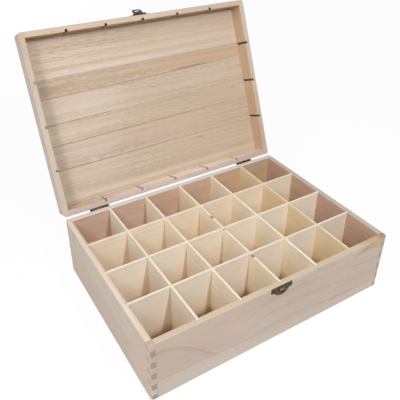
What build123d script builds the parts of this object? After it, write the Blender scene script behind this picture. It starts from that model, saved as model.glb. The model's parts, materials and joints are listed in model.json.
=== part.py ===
from build123d import *
import os

# Stamp box: a finger-jointed wooden box with an egg-crate of dividers and a hinged lid.
# Millimetres, +Z up. The origin is the centre of the underside, +X points to the right
# and +Y to the back. The lid's pieces are drawn shut and then swung open on the hinges.

# The box and its lid
length = 340.0
depth = 242.0
body_height = 84.5
lid_height = 28.0
wall = 7.5
open_angle = 112.0
rim_gap = 0.3
overrun = 1.0

# Rounding of the glued-up box
corner_radius = 3.5
foot_radius = 1.0
crown_radius = 3.5
rim_chamfer = 0.5

# Panels let into the walls
bottom_thickness = 4.0
lid_panel_thickness = 4.0
rebate = 4.0

# Finger joints, cut before the saw parts the lid from the box
finger_height = 8.6
saw_kerf = 2.4

# Glue line of the front panel, above the underside
front_seam_left = 26.5
front_seam_right = 12.0

# Glue lines of the lid panel, from its front edge, as shares of its depth
board_left_shares = (0.0, 0.247, 0.357, 0.506, 0.626, 0.770, 1.0)
board_right_shares = (0.0, 0.247, 0.332, 0.481, 0.609, 0.762, 1.0)

# Dividers
cross_count = 5
long_count = 3
divider_thickness = 3.0
divider_drop = 0.2
divider_chamfer = 0.4
groove_depth = 3.0
groove_clearance = 0.1
groove_end_clearance = 0.2
lap_clearance = 0.1

# Hinges, on the back faces
hinge_inset = 49.0
hinge_width = 27.0
leaf_height = 12.0
leaf_thickness = 0.8
leaf_corner_radius = 2.0
leaf_notch_gap = 0.4
leaf_tab_recess = 0.6
knuckle_radius = 1.25
knuckle_count = 5
knuckle_gap = 0.3
knuckle_wood_gap = 0.3
hinge_pin_radius = 0.6
hinge_pin_end = 0.5
pin_clearance = 0.05
heel_length = 4.6
heel_thickness = 1.0
heel_gap = 0.3
leaf_nail_spacing = 16.0
leaf_nail_drop = 7.4

# Nails
nail_radius = 0.6
nail_length = 5.5
nail_head_radius = 1.5
nail_head_height = 0.7
nail_clearance = 0.05
plate_hole_clearance = 0.2

# Half-moon plates of the clasp, a little to the left of the middle
clasp_middle = -1.8
plate_width = 30.0
plate_arc_width = 21.2
plate_height = 14.0
plate_ear_height = 7.6
plate_ear_radius = 0.8
plate_thickness = 0.8
plate_bevel = 0.25
plate_nail_spacing = 22.0
plate_nail_drop = 3.8
catch_drop = 0.3
clasp_rise = 4.0

# Nose of the catch plate, below the rim
nose_width = 7.0
nose_top_drop = 3.0
nose_tip_drop = 6.0
nose_foot_drop = 6.6
nose_rise = 2.4
nose_radius = 0.3

# Tongue of the clasp and its pin
tongue_width = 13.4
tongue_length = 12.9
tongue_thickness = 0.8
tongue_corner_radius = 3.5
tongue_lip_radius = 0.8
tongue_lip_width = 6.4
tongue_raised_angle = 146.0
slot_side_clearance = 0.5
slot_end_clearance = 0.4
slot_corner_radius = 0.6
clasp_knuckle_radius = 1.2
clasp_knuckle_gap = 0.3
clasp_lug_length = 2.6
clasp_pin_radius = 0.5
clasp_pin_end = 0.4
clasp_wood_gap = 0.35

# Places that follow from the sizes
inside_length = length - 2 * wall
inside_depth = depth - 2 * wall
lid_rim = body_height + rim_gap
lid_top = lid_rim + lid_height
front_face = -depth / 2
back_face = depth / 2
hinge_offset = knuckle_radius + knuckle_wood_gap
hinge_axis_y = back_face + hinge_offset
hinge_axis_z = body_height + rim_gap / 2
clasp_axis_out = clasp_knuckle_radius + clasp_wood_gap
clasp_axis_z = lid_rim + clasp_rise
cross_pitch = (inside_length + divider_thickness) / (cross_count + 1)
long_pitch = (inside_depth + divider_thickness) / (long_count + 1)

nodes = {}


def block(x_span, y_span, z_span):
    """Box between two values on each axis."""
    size = [high - low for low, high in (x_span, y_span, z_span)]
    corner = Pos(x_span[0], y_span[0], z_span[0])
    return corner * Box(*size, align=(Align.MIN, Align.MIN, Align.MIN))


def rod(radius, x_span):
    """Round bar along X on the local axis."""
    middle = (x_span[0] + x_span[1]) / 2
    return Pos(middle, 0, 0) * Rot(0, 90, 0) * Cylinder(radius, x_span[1] - x_span[0])


def opened(shape):
    """Swings a piece of the shut lid open about the hinge axis."""
    axis = Pos(0, hinge_axis_y, hinge_axis_z)
    return axis * Rot(-open_angle, 0, 0) * axis.inverse() * shape


def body_envelope():
    """Outer shape of the box after sanding."""
    shape = block((-length / 2, length / 2), (front_face, back_face), (0, body_height))
    shape = fillet(shape.edges().filter_by(Axis.Z), corner_radius)
    shape = fillet(shape.edges().group_by(Axis.Z)[0], foot_radius)
    return chamfer(shape.edges().group_by(Axis.Z)[-1], rim_chamfer)


def lid_envelope():
    """Outer shape of the lid after sanding."""
    shape = block((-length / 2, length / 2), (front_face, back_face), (lid_rim, lid_top))
    shape = fillet(shape.edges().filter_by(Axis.Z), corner_radius)
    shape = fillet(shape.edges().group_by(Axis.Z)[-1], crown_radius)
    return chamfer(shape.edges().group_by(Axis.Z)[0], rim_chamfer)


def inner_rim_bevel(rim, step):
    """Cutter that eases the inner edge of a rim; step is +1 where the rim faces up, -1 down."""
    low = Pos(0, 0, rim - step * rim_chamfer) * Rectangle(inside_length, inside_depth)
    high_length = inside_length + 2 * rim_chamfer
    high_depth = inside_depth + 2 * rim_chamfer
    high = Pos(0, 0, rim) * Rectangle(high_length, high_depth)
    return loft([low.face(), high.face()])


def panel_recess(z_low, z_high):
    """Space of a panel let into the rebate of the walls."""
    half_x = inside_length / 2 + rebate
    half_y = inside_depth / 2 + rebate
    return block((-half_x, half_x), (-half_y, half_y), (z_low, z_high))


def finger_bands(start, step, z_low, z_high):
    """Heights of the fingers: those of the first wall and those of the second, in turn."""
    bands = ([], [])
    count = int((z_high - z_low + saw_kerf) / finger_height) + 2
    for index in range(count):
        ends = sorted((start + index * step, start + (index + 1) * step))
        low = max(ends[0], z_low)
        high = min(ends[1], z_high)
        if high > low:
            bands[index % 2].append((low, high))
    return bands


def corner_posts(bands):
    """Corner blocks at the given heights, to be cut from the walls that don't fill them."""
    posts = []
    for low, high in bands:
        for x_low in (-length / 2, length / 2 - wall):
            for y_low in (front_face, back_face - wall):
                posts.append(block((x_low, x_low + wall), (y_low, y_low + wall), (low, high)))
    return posts


def cross_places():
    """X of each divider that runs from front to back."""
    middle = (cross_count + 1) / 2
    return [(index - middle) * cross_pitch for index in range(1, cross_count + 1)]


def long_places():
    """Y of each divider that runs from left to right."""
    middle = (long_count + 1) / 2
    return [(index - middle) * long_pitch for index in range(1, long_count + 1)]


def divider_grooves(z_low, z_high):
    """Saw cuts across the inside that leave the grooves in opposite walls."""
    half = divider_thickness / 2 + groove_clearance
    reach_x = inside_length / 2 + groove_depth
    reach_y = inside_depth / 2 + groove_depth
    heights = (z_low - overrun, z_high + overrun)
    cuts = [block((x - half, x + half), (-reach_y, reach_y), heights) for x in cross_places()]
    cuts += [block((-reach_x, reach_x), (y - half, y + half), heights) for y in long_places()]
    return cuts


def wall_ring(z_low, z_high, front_bands, side_bands, envelope, recess, bevel):
    """Four finger-jointed walls with their grooves, rebate and rounded outer edges."""
    half = length / 2
    heights = (z_low, z_high)
    slabs = {
        "front": block((-half, half), (front_face, front_face + wall), heights),
        "back": block((-half, half), (back_face - wall, back_face), heights),
        "left": block((-half, wall - half), (front_face, back_face), heights),
        "right": block((half - wall, half), (front_face, back_face), heights),
    }
    others = {"front": side_bands, "back": side_bands, "left": front_bands, "right": front_bands}
    cuts = divider_grooves(z_low, z_high) + [recess, bevel]
    return {side: (slab & envelope) - corner_posts(others[side]) - cuts for side, slab in slabs.items()}


def nail():
    """Dome-headed nail: the head sits on the local XY plane, the shank points to -Z."""
    ball_radius = (nail_head_radius**2 + nail_head_height**2) / (2 * nail_head_height)
    half = 2 * ball_radius
    ball = Pos(0, 0, nail_head_height - ball_radius) * Sphere(ball_radius)
    dome = ball & block((-half, half), (-half, half), (0, half))
    shank = Cylinder(nail_radius, nail_length, align=(Align.CENTER, Align.CENTER, Align.MAX))
    return dome + shank


def nail_hole(spots, radius):
    """Straight holes for the nails at the given spots."""
    reach = nail_length + nail_clearance
    return [spot * Cylinder(radius, 2 * reach) for spot in spots]


def hinge_nail_spots(middle_x, height):
    """Seats of two nails on a leaf; local +Z points out of the back face."""
    seat_y = back_face + leaf_thickness
    turn = Rot(-90, 0, 0)
    return [Pos(middle_x + side * leaf_nail_spacing / 2, seat_y, height) * turn for side in (-1, 1)]


def plate_nail_spots(height):
    """Seats of two nails on a half-moon plate; local +Z points out of the front face."""
    seat_y = front_face - plate_thickness
    turn = Rot(90, 0, 0)
    places = [clasp_middle + side * plate_nail_spacing / 2 for side in (-1, 1)]
    return [Pos(x, seat_y, height) * turn for x in places]


def nail_group(spots):
    """The nails of one fitting, as separate solids."""
    return Compound(children=[spot * nail() for spot in spots])


hinge_middles = {"left": hinge_inset - length / 2, "right": length / 2 - hinge_inset}
box_nail_height = hinge_axis_z - leaf_nail_drop
lid_nail_height = hinge_axis_z + leaf_nail_drop
box_hinge_nails = {side: hinge_nail_spots(x, box_nail_height) for side, x in hinge_middles.items()}
lid_hinge_nails = {side: hinge_nail_spots(x, lid_nail_height) for side, x in hinge_middles.items()}
catch_nails = plate_nail_spots(body_height - catch_drop - plate_nail_drop)
clasp_nails = plate_nail_spots(clasp_axis_z + plate_nail_drop)


def front_boards(front):
    """The front panel's upper and lower board, parted along the glue line."""
    half = length / 2 + overrun
    low = -overrun
    corners = ((-half, low), (half, low), (half, front_seam_right), (-half, front_seam_left))
    outside = Plane((0, front_face - overrun, 0), x_dir=(1, 0, 0), z_dir=(0, -1, 0))
    face = outside * make_face(Polyline(*corners, close=True))
    prism = extrude(face, -(wall + 2 * overrun))
    return front - prism, front & prism


def make_box_walls():
    """Front boards, back, left and right panel, and the bottom panel."""
    envelope = body_envelope()
    front_bands, side_bands = finger_bands(body_height, -finger_height, 0, body_height)
    recess = panel_recess(0, bottom_thickness)
    bevel = inner_rim_bevel(body_height, 1)
    walls = wall_ring(0, body_height, front_bands, side_bands, envelope, recess, bevel)
    hinge_spots = box_hinge_nails["left"] + box_hinge_nails["right"]
    walls["back"] = walls["back"] - nail_hole(hinge_spots, nail_radius + nail_clearance)
    walls["front"] = walls["front"] - nail_hole(catch_nails, nail_radius + nail_clearance)
    upper, lower = front_boards(walls["front"])
    nodes["box_front_upper_board"] = upper
    nodes["box_front_lower_board"] = lower
    nodes["box_back_panel"] = walls["back"]
    nodes["box_left_panel"] = walls["left"]
    nodes["box_right_panel"] = walls["right"]
    nodes["box_bottom_panel"] = recess & envelope


def make_dividers():
    """The egg-crate: cross dividers slotted from above, long dividers slotted from below."""
    low = bottom_thickness
    high = body_height - divider_drop
    middle = (low + high) / 2
    half = divider_thickness / 2
    lap = half + lap_clearance
    reach_x = inside_length / 2 + groove_depth - groove_end_clearance
    reach_y = inside_depth / 2 + groove_depth - groove_end_clearance
    upper = (middle - lap_clearance, high + overrun)
    lower = (low - overrun, middle + lap_clearance)
    for number, x in enumerate(cross_places(), start=1):
        board = block((x - half, x + half), (-reach_y, reach_y), (low, high))
        board = chamfer(board.edges().filter_by(Axis.Y).group_by(Axis.Z)[-1], divider_chamfer)
        slots = [block((x - lap, x + lap), (y - lap, y + lap), upper) for y in long_places()]
        nodes[f"cross_divider_{number}"] = board - slots
    for number, y in enumerate(long_places(), start=1):
        board = block((-reach_x, reach_x), (y - half, y + half), (low, high))
        board = chamfer(board.edges().filter_by(Axis.X).group_by(Axis.Z)[-1], divider_chamfer)
        slots = [block((x - lap, x + lap), (y - lap, y + lap), lower) for x in cross_places()]
        nodes[f"long_divider_{number}"] = board - slots


def lid_board(recess, number):
    """One board of the lid panel, between two glue lines that needn't be parallel."""
    half_x = inside_length / 2 + rebate
    half_y = inside_depth / 2 + rebate
    left = [share * 2 * half_y - half_y for share in board_left_shares[number - 1 : number + 1]]
    right = [share * 2 * half_y - half_y for share in board_right_shares[number - 1 : number + 1]]
    corners = ((-half_x, left[0]), (half_x, right[0]), (half_x, right[1]), (-half_x, left[1]))
    face = Pos(0, 0, lid_top - lid_panel_thickness) * make_face(Polyline(*corners, close=True))
    return extrude(face, lid_panel_thickness, dir=(0, 0, 1)) & recess


def make_lid():
    """Four rails and the boards of the panel, swung open."""
    envelope = lid_envelope()
    side_bands, front_bands = finger_bands(lid_rim - saw_kerf, finger_height, lid_rim, lid_top)
    recess = panel_recess(lid_top - lid_panel_thickness, lid_top)
    bevel = inner_rim_bevel(lid_rim, -1)
    rails = wall_ring(lid_rim, lid_top, front_bands, side_bands, envelope, recess, bevel)
    hinge_spots = lid_hinge_nails["left"] + lid_hinge_nails["right"]
    rails["back"] = rails["back"] - nail_hole(hinge_spots, nail_radius + nail_clearance)
    rails["front"] = rails["front"] - nail_hole(clasp_nails, nail_radius + nail_clearance)
    for side, rail in rails.items():
        nodes[f"lid_{side}_rail"] = opened(rail)
    panel = recess & envelope
    for number in range(1, len(board_left_shares)):
        nodes[f"lid_board_{number}"] = opened(lid_board(panel, number))


def knuckle_spans(first):
    """X spans of every second knuckle, from the given one on."""
    pitch = hinge_width / knuckle_count
    starts = [index * pitch - hinge_width / 2 for index in range(first, knuckle_count, 2)]
    return [(start + knuckle_gap / 2, start + pitch - knuckle_gap / 2) for start in starts]


def hinge_bore():
    """Hole for the hinge pin, with its running clearance."""
    half = hinge_width / 2 + overrun
    return rod(hinge_pin_radius + pin_clearance, (-half, half))


def hinge_leaf(spans):
    """Leaf that hangs from the hinge axis, with the wood on its -Y side."""
    half = hinge_width / 2
    sheet_y = (-hinge_offset, leaf_thickness - hinge_offset)
    notch = knuckle_radius + leaf_notch_gap
    sheet = block((-half, half), sheet_y, (-leaf_height, -notch))
    sheet = fillet(sheet.edges().filter_by(Axis.Y).group_by(Axis.Z)[0], leaf_corner_radius)
    for span in spans:
        sheet = sheet + block(span, sheet_y, (-notch, -leaf_tab_recess)) + rod(knuckle_radius, span)
    return sheet - hinge_bore()


def stop_heel(spans):
    """Heels on the lid leaf's knuckles: they meet the box leaf when the lid is fully open."""
    near = leaf_thickness - hinge_offset + heel_gap
    plates = [block(span, (near, near + heel_thickness), (-heel_length, 0)) for span in spans]
    return [Rot(open_angle, 0, 0) * (plate - hinge_bore()) for plate in plates]


def make_hinges():
    """Two hinges: a box leaf, a lid leaf with its heels, a pin and four nails each."""
    box_spans = knuckle_spans(0)
    lid_spans = knuckle_spans(1)
    hole_radius = nail_radius + plate_hole_clearance
    lid_leaf = hinge_leaf(lid_spans).mirror(Plane.XY) + stop_heel(lid_spans)
    pin_half = hinge_width / 2 + hinge_pin_end
    for side, x in hinge_middles.items():
        place = Pos(x, hinge_axis_y, hinge_axis_z)
        box_holes = nail_hole(box_hinge_nails[side], hole_radius)
        lid_holes = nail_hole(lid_hinge_nails[side], hole_radius)
        nodes[f"hinge_{side}_box_leaf"] = place * hinge_leaf(box_spans) - box_holes
        nodes[f"hinge_{side}_lid_leaf"] = opened(place * lid_leaf - lid_holes)
        nodes[f"hinge_{side}_pin"] = place * rod(hinge_pin_radius, (-pin_half, pin_half))
        nodes[f"hinge_{side}_box_nails"] = nail_group(box_hinge_nails[side])
        nodes[f"hinge_{side}_lid_nails"] = opened(nail_group(lid_hinge_nails[side]))


def front_plane(out, height):
    """Plane on the front: local X to the right, local Y up, local Z out of the face."""
    return Plane((0, front_face - out, height), x_dir=(1, 0, 0), z_dir=(0, -1, 0))


def aside(shape):
    """Moves a piece of the clasp, drawn about x = 0, to its place on the front."""
    return Pos(clasp_middle, 0, 0) * shape


def half_moon():
    """Outline of a clasp plate: a straight edge on local X, two ears and an arc below it."""
    half = plate_width / 2
    neck = plate_arc_width / 2
    ear = -plate_ear_height
    sides = Polyline((-neck, ear), (-half, ear), (-half, 0), (half, 0), (half, ear), (neck, ear))
    arc = ThreePointArc((neck, ear), (0, -plate_height), (-neck, ear))
    face = make_face(sides.edges() + arc.edges())
    ends = face.vertices().group_by(Axis.X)
    return fillet(ends[0] + ends[-1], plate_ear_radius)


def bevelled_plate(face):
    """Sheet of a plate with its outer edges eased."""
    sheet = extrude(face, plate_thickness)
    return chamfer(sheet.faces().sort_by(Axis.Y)[0].edges(), plate_bevel)


def catch_nose():
    """Wedge that the tongue's slot drops over: a long ramp above, a steep face below."""
    root = front_face - plate_thickness / 2
    skin = front_face - plate_thickness
    tip = front_face - nose_rise
    top = body_height - nose_top_drop
    crest = body_height - nose_tip_drop
    foot = body_height - nose_foot_drop
    outline = Polyline((root, top), (skin, top), (tip, crest), (skin, foot), (root, foot), close=True)
    wedge = extrude(Plane.YZ * make_face(outline), nose_width / 2, both=True)
    crest_edges = wedge.edges().filter_by(Axis.X).sort_by(Axis.Y)[0]
    return fillet(crest_edges, nose_radius)


def make_catch():
    """The plate on the box, its pressed nose and its nails."""
    plate = bevelled_plate(front_plane(0, body_height - catch_drop) * half_moon())
    holes = nail_hole(catch_nails, nail_radius + plate_hole_clearance)
    nodes["catch_plate"] = aside(plate + catch_nose()) - holes
    nodes["catch_plate_nails"] = nail_group(catch_nails)


def clasp_axis():
    """Centre of the tongue's pin on the shut lid."""
    return Pos(0, front_face - clasp_axis_out, clasp_axis_z)


def clasp_bore():
    """Hole for the tongue's pin, with its running clearance."""
    half = plate_width / 2
    return clasp_axis() * rod(clasp_pin_radius + pin_clearance, (-half, half))


def make_clasp_plate():
    """The plate on the lid with two lugs for the pin, its nails and the pin."""
    plate = bevelled_plate(front_plane(0, clasp_axis_z) * half_moon().mirror(Plane.XZ))
    inner = tongue_width / 2 + clasp_knuckle_gap
    outer = inner + clasp_lug_length
    notch_height = clasp_axis_z + clasp_knuckle_radius + clasp_knuckle_gap
    notch_y = (front_face - plate_thickness - overrun, front_face + overrun)
    plate = plate - block((-inner, inner), notch_y, (clasp_axis_z - overrun, notch_height))
    for span in ((-outer, -inner), (inner, outer)):
        plate = plate + clasp_axis() * rod(clasp_knuckle_radius, span)
    holes = nail_hole(clasp_nails, nail_radius + plate_hole_clearance)
    pin_half = outer + clasp_pin_end
    pin = clasp_axis() * rod(clasp_pin_radius, (-pin_half, pin_half))
    nodes["clasp_plate"] = opened(aside(plate - clasp_bore()) - holes)
    nodes["clasp_plate_nails"] = opened(nail_group(clasp_nails))
    nodes["clasp_pin"] = opened(aside(pin))


def make_tongue():
    """The swinging tongue: a knuckle, a slotted sheet and a rolled lip, drawn hanging, then raised."""
    half = tongue_width / 2
    sheet = Pos(0, -tongue_length / 2) * Rectangle(tongue_width, tongue_length)
    sheet = fillet(sheet.vertices().group_by(Axis.Y)[0], tongue_corner_radius)
    slot_top = clasp_rise + rim_gap + nose_top_drop
    slot_foot = clasp_rise + rim_gap + nose_foot_drop + slot_end_clearance
    slot_width = nose_width + 2 * slot_side_clearance
    slot = Rectangle(slot_width, slot_foot - slot_top)
    slot = Pos(0, -(slot_top + slot_foot) / 2) * fillet(slot.vertices(), slot_corner_radius)
    face = front_plane(0, 0) * (sheet - slot)
    plate = Pos(0, -front_face, 0) * extrude(face, tongue_thickness / 2, both=True)
    lip_span = (-tongue_lip_width / 2, tongue_lip_width / 2)
    lip_height = tongue_lip_radius / 2 - tongue_length
    lip = Pos(0, -tongue_thickness / 2, lip_height) * rod(tongue_lip_radius, lip_span)
    tongue = plate + lip + rod(clasp_knuckle_radius, (-half, half))
    tongue = tongue - rod(clasp_pin_radius + pin_clearance, (-half - overrun, half + overrun))
    raised = clasp_axis() * Rot(-tongue_raised_angle, 0, 0) * tongue
    nodes["clasp_tongue"] = opened(aside(raised))


make_box_walls()
make_dividers()
make_lid()
make_hinges()
make_catch()
make_clasp_plate()
make_tongue()

os.makedirs("parts", exist_ok=True)
for name, shape in nodes.items():
    export_step(shape, f"parts/{name}.step")
    print(name, round(shape.volume, 1))
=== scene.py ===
import json
import math

import bpy
from mathutils import Matrix, Vector


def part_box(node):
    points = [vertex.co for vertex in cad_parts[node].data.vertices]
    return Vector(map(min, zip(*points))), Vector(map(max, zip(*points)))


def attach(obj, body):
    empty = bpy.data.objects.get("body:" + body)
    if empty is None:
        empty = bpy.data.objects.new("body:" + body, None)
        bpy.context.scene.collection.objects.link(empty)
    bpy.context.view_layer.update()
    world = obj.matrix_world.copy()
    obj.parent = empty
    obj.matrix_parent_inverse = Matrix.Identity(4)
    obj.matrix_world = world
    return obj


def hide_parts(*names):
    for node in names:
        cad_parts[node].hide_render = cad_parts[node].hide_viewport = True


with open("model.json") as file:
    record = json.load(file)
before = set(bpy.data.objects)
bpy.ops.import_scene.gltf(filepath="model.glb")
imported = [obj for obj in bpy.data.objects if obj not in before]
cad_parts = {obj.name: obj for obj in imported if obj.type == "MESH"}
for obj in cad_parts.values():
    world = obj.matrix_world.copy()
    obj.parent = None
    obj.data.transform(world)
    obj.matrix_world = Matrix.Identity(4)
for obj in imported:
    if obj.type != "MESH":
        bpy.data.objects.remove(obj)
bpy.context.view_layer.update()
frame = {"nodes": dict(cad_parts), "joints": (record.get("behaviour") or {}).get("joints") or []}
print("frame loaded:", len(frame["nodes"]), "nodes")

lidJoint = next(joint for joint in frame["joints"] if joint["name"] == "lid_hinge")
lidHinge = Vector(lidJoint["pos_m"])
shutTurn = Matrix.Rotation(-math.radians(lidJoint["range_deg"][0]), 3, "X")  # swings the open lid shut

shot = {
    "azimuth": -31.598,
    "elevation": 30.933,
    "roll": 0.4087,
    "place": (-0.3122185, -0.4402603, 0.5005230),
    "lens": 46.849,
    "sensor": 36.0,
    "shift": (0.00824, -0.08597),
    "clip": (0.01, 20.0),
}


def makeCamera(shot):
    azimuth, elevation, roll = (math.radians(shot[key]) for key in ("azimuth", "elevation", "roll"))
    outward = Vector((math.sin(azimuth), -math.cos(azimuth), 0.0))
    back = math.cos(elevation) * outward + math.sin(elevation) * Vector((0.0, 0.0, 1.0))
    level = Vector((math.cos(azimuth), math.sin(azimuth), 0.0))
    upright = back.cross(level)
    right = math.cos(roll) * level + math.sin(roll) * upright
    up = math.cos(roll) * upright - math.sin(roll) * level
    data = bpy.data.cameras.new("shot")
    data.sensor_width = shot["sensor"]
    data.lens = shot["lens"]
    data.shift_x, data.shift_y = shot["shift"]
    data.clip_start, data.clip_end = shot["clip"]
    camera = bpy.data.objects.new("shot", data)
    bpy.context.scene.collection.objects.link(camera)
    aim = Matrix((right, up, back)).transposed().to_4x4()
    camera.matrix_world = Matrix.Translation(shot["place"]) @ aim
    bpy.context.scene.camera = camera


makeCamera(shot)
print("camera set")


class Wire:
    # an output socket; an expression on wires adds the nodes that work it out
    def __init__(self, tree, socket=None):
        self.tree = tree
        self.socket = socket

    def node(self, kind, settings=None, sockets=None, out=0):
        made = self.tree.nodes.new(kind)
        for key, value in (settings or {}).items():
            if key == "bends":
                fillCurve(made.mapping, value)
            else:
                setattr(made, key, value)
        for key, value in (sockets or {}).items():
            if isinstance(value, Wire):
                self.tree.links.new(value.socket, made.inputs[key])
            else:
                made.inputs[key].default_value = value
        return Wire(self.tree, made.outputs[out] if len(made.outputs) else None)

    def also(self, out):
        # another output of the node that this wire leaves
        return Wire(self.tree, self.socket.node.outputs[out])

    def maths(self, operation, *values):
        return self.node("ShaderNodeMath", {"operation": operation}, dict(enumerate(values)))

    def vectorMaths(self, operation, *values, out=0):
        return self.node("ShaderNodeVectorMath", {"operation": operation}, dict(enumerate(values)), out)

    def __add__(self, other):
        return self.maths("ADD", self, other)

    def __sub__(self, other):
        return self.maths("SUBTRACT", self, other)

    def __mul__(self, other):
        return self.maths("MULTIPLY", self, other)

    def __truediv__(self, other):
        return self.maths("DIVIDE", self, other)

    def __pow__(self, other):
        return self.maths("POWER", self, other)

    def __radd__(self, other):
        return self.maths("ADD", other, self)

    def __rsub__(self, other):
        return self.maths("SUBTRACT", other, self)

    def __rmul__(self, other):
        return self.maths("MULTIPLY", other, self)

    def __abs__(self):
        return self.maths("ABSOLUTE", self)


def fillCurve(mapping, bends):
    curve = mapping.curves[0]
    for _ in bends[2:]:
        curve.points.new(0.5, 0.5)
    for point, place in zip(curve.points, bends):
        point.location = place
    mapping.update()


def smooth(value, low, high):
    return value.node(
        "ShaderNodeMapRange",
        {"interpolation_type": "SMOOTHSTEP"},
        {"Value": value, "From Min": low, "From Max": high},
    )


def clamped(value):
    return value.node("ShaderNodeClamp", {}, {0: value})


def mixed(factor, first, second):
    # sockets 6 and 7 of the node are its two colours, output 2 is their mix
    first, second = (colour if isinstance(colour, Wire) else (*colour, 1.0) for colour in (first, second))
    return factor.node("ShaderNodeMix", {"data_type": "RGBA"}, {0: factor, 6: first, 7: second}, out=2)


def vector(x, y, z):
    wire = next(part for part in (x, y, z) if isinstance(part, Wire))
    return wire.node("ShaderNodeCombineXYZ", {}, {0: x, 1: y, 2: z})


def curved(value, bends):
    return value.node("ShaderNodeFloatCurve", {"bends": bends}, {"Value": value})


def noise(place, scale=1.0, detail=2.0, roughness=0.5):
    return place.node(
        "ShaderNodeTexNoise",
        {"noise_dimensions": "3D"},
        {"Vector": place, "Scale": scale, "Detail": detail, "Roughness": roughness},
    )


def closedPlace(bench, body):
    # where a point of the piece is while the lid is shut
    place = bench.node("ShaderNodeTexCoord", out="Object")
    if body == "box":
        return place
    move = lidHinge - shutTurn @ lidHinge
    return place.node(
        "ShaderNodeMapping",
        {"vector_type": "POINT"},
        {"Vector": place, "Location": move, "Rotation": shutTurn.to_euler()},
    )


def newMaterial(name):
    material = bpy.data.materials.new(name)
    material.use_nodes = True
    material.node_tree.nodes.clear()
    return material, Wire(material.node_tree)


# finishes of the wood: colours as written on a sanded face, sizes in metres
wallWood = {
    "pale": (0.545, 0.465, 0.400),
    "tan": (0.445, 0.350, 0.285),
    "blush": (0.525, 0.400, 0.335),
    "lateWood": (0.300, 0.210, 0.150),
    "endGrain": (0.290, 0.225, 0.180),
    "ringWidth": 0.021,
    "ringBand": 5.0,
    "ringDark": 0.16,
    "sway": 0.0045,
    "streaks": 0.34,
    "fibres": 0.60,
    "clouds": 0.45,
    "bump": 0.00012,
}
lidWood = {
    "pale": (0.645, 0.538, 0.432),
    "tan": (0.420, 0.315, 0.215),
    "blush": (0.580, 0.445, 0.340),
    "lateWood": (0.330, 0.215, 0.140),
    "endGrain": (0.290, 0.225, 0.180),
    "ringWidth": 0.0125,
    "ringBand": 6.0,
    "ringDark": 0.16,
    "sway": 0.0014,
    "streaks": 0.60,
    "fibres": 1.20,
    "clouds": 0.35,
    "bump": 0.00012,
}
dividerWood = {
    "pale": (0.865, 0.765, 0.610),
    "tan": (0.800, 0.660, 0.475),
    "blush": (0.850, 0.705, 0.540),
    "lateWood": (0.520, 0.360, 0.200),
    "endGrain": (0.600, 0.460, 0.320),
    "ringWidth": 0.013,
    "ringBand": 5.0,
    "ringDark": 0.10,
    "sway": 0.003,
    "streaks": 0.18,
    "fibres": 0.34,
    "clouds": 0.60,
    "bump": 0.00008,
}
bottomWood = {
    "pale": (0.640, 0.480, 0.330),
    "tan": (0.500, 0.345, 0.215),
    "blush": (0.590, 0.420, 0.300),
    "lateWood": (0.340, 0.210, 0.120),
    "endGrain": (0.300, 0.210, 0.150),
    "ringWidth": 0.014,
    "ringBand": 6.0,
    "ringDark": 0.20,
    "sway": 0.005,
    "streaks": 0.35,
    "fibres": 0.25,
    "clouds": 0.50,
    "bump": 0.00010,
}

grainWays = {"x": Vector((1, 0, 0)), "y": Vector((0, 1, 0)), "z": Vector((0, 0, 1))}

# the textures of every board: how fine along the grain, how fine across it,
# then how far each board's seed moves the texture and where it starts
weave = {
    "sway": (5.0, 16.0, 7.31, 0.0),
    "streak": (3.0, 210.0, 1.7, 0.0),
    "fibre": (90.0, 560.0, 5.1, 0.0),
    "pore": (150.0, 2600.0, 1.0, 0.0),
    "cloud": (8.0, 24.0, 9.1, 0.0),
    "warm": (5.0, 14.0, 4.3, 20.0),
    "ringGap": (9.0, 30.0, 3.7, 0.0),
    "raggedEdge": (9.0, 150.0, 2.3, 0.0),
}
# between which values of its noise each texture fades in, and how much it shows
grain = {
    "streakRange": (0.30, 0.72),
    "cloudRange": (0.30, 0.70),
    "warmRange": (0.42, 0.68),
    "poreRange": (0.66, 0.74),
    "poreShade": 0.22,
    "poreDirt": 0.04,
    "tone": 0.42,
    "blush": 0.60,
    "endShare": 0.35,
    "endRange": (0.55, 0.95),
    "speckScale": 800.0,
    "speckShare": 0.50,
    "dirtAndShade": (0.130, 0.065, 0.035),
}
rings = {
    "tilt": 0.35,
    "swing": 4.0,
    "seedStep": 0.37,
    "gain": 1.4,
    "lineFrom": 0.94,
    "gapRange": (0.32, 0.60),
    "gapShare": 0.20,
    "loneRange": (0.50, 0.52),
    "othersRange": (0.32, 0.45),
    "othersShare": 0.45,
}
innerFace = {"from": 0.0002, "to": 0.0010, "streaks": 0.9, "clouds": 2.2, "middle": 0.40}
rimFade = {"from": 0.0007, "to": 0.0002, "fibres": 0.5, "wander": 0.002}
patchEdge = {"from": -0.3, "to": 1.8, "ragged": 2.2, "fibres": 1.4}
glue = {"core": 0.30, "breaks": 45.0, "seamShift": 50.0, "breakRange": (0.30, 0.60), "unbroken": 0.55}
fleckEdge = {"scale": 0.9, "ragged": 1.2, "range": (0.25, 1.0)}
sawEdge = {"skin": (0.1, 0.5), "end": 1.03, "side": 1.12}
relief = {"fibre": 0.6, "streak": 0.3, "pore": 0.8, "ring": 0.3}
sheen = {"rough": 0.66, "fibreRough": 0.16, "endRough": 0.12, "specular": 0.25, "bumpStrength": 0.6}


def boardCut(bench, board):
    # where a point lies in its board: along the grain, across the board and through it
    place = closedPlace(bench, board["body"])
    parts = {"x": place.node("ShaderNodeSeparateXYZ", {}, {0: place})}
    parts["y"], parts["z"] = parts["x"].also(1), parts["x"].also(2)
    cut = dict(zip(("along", "across", "through"), (parts[key] for key in board["axes"])))
    cut["place"], cut["up"] = place, parts["z"]
    if "inside" in board:
        cut["depth"] = (cut["through"] - board["inside"]["face"]) * board["inside"]["outward"]
    return cut


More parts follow.
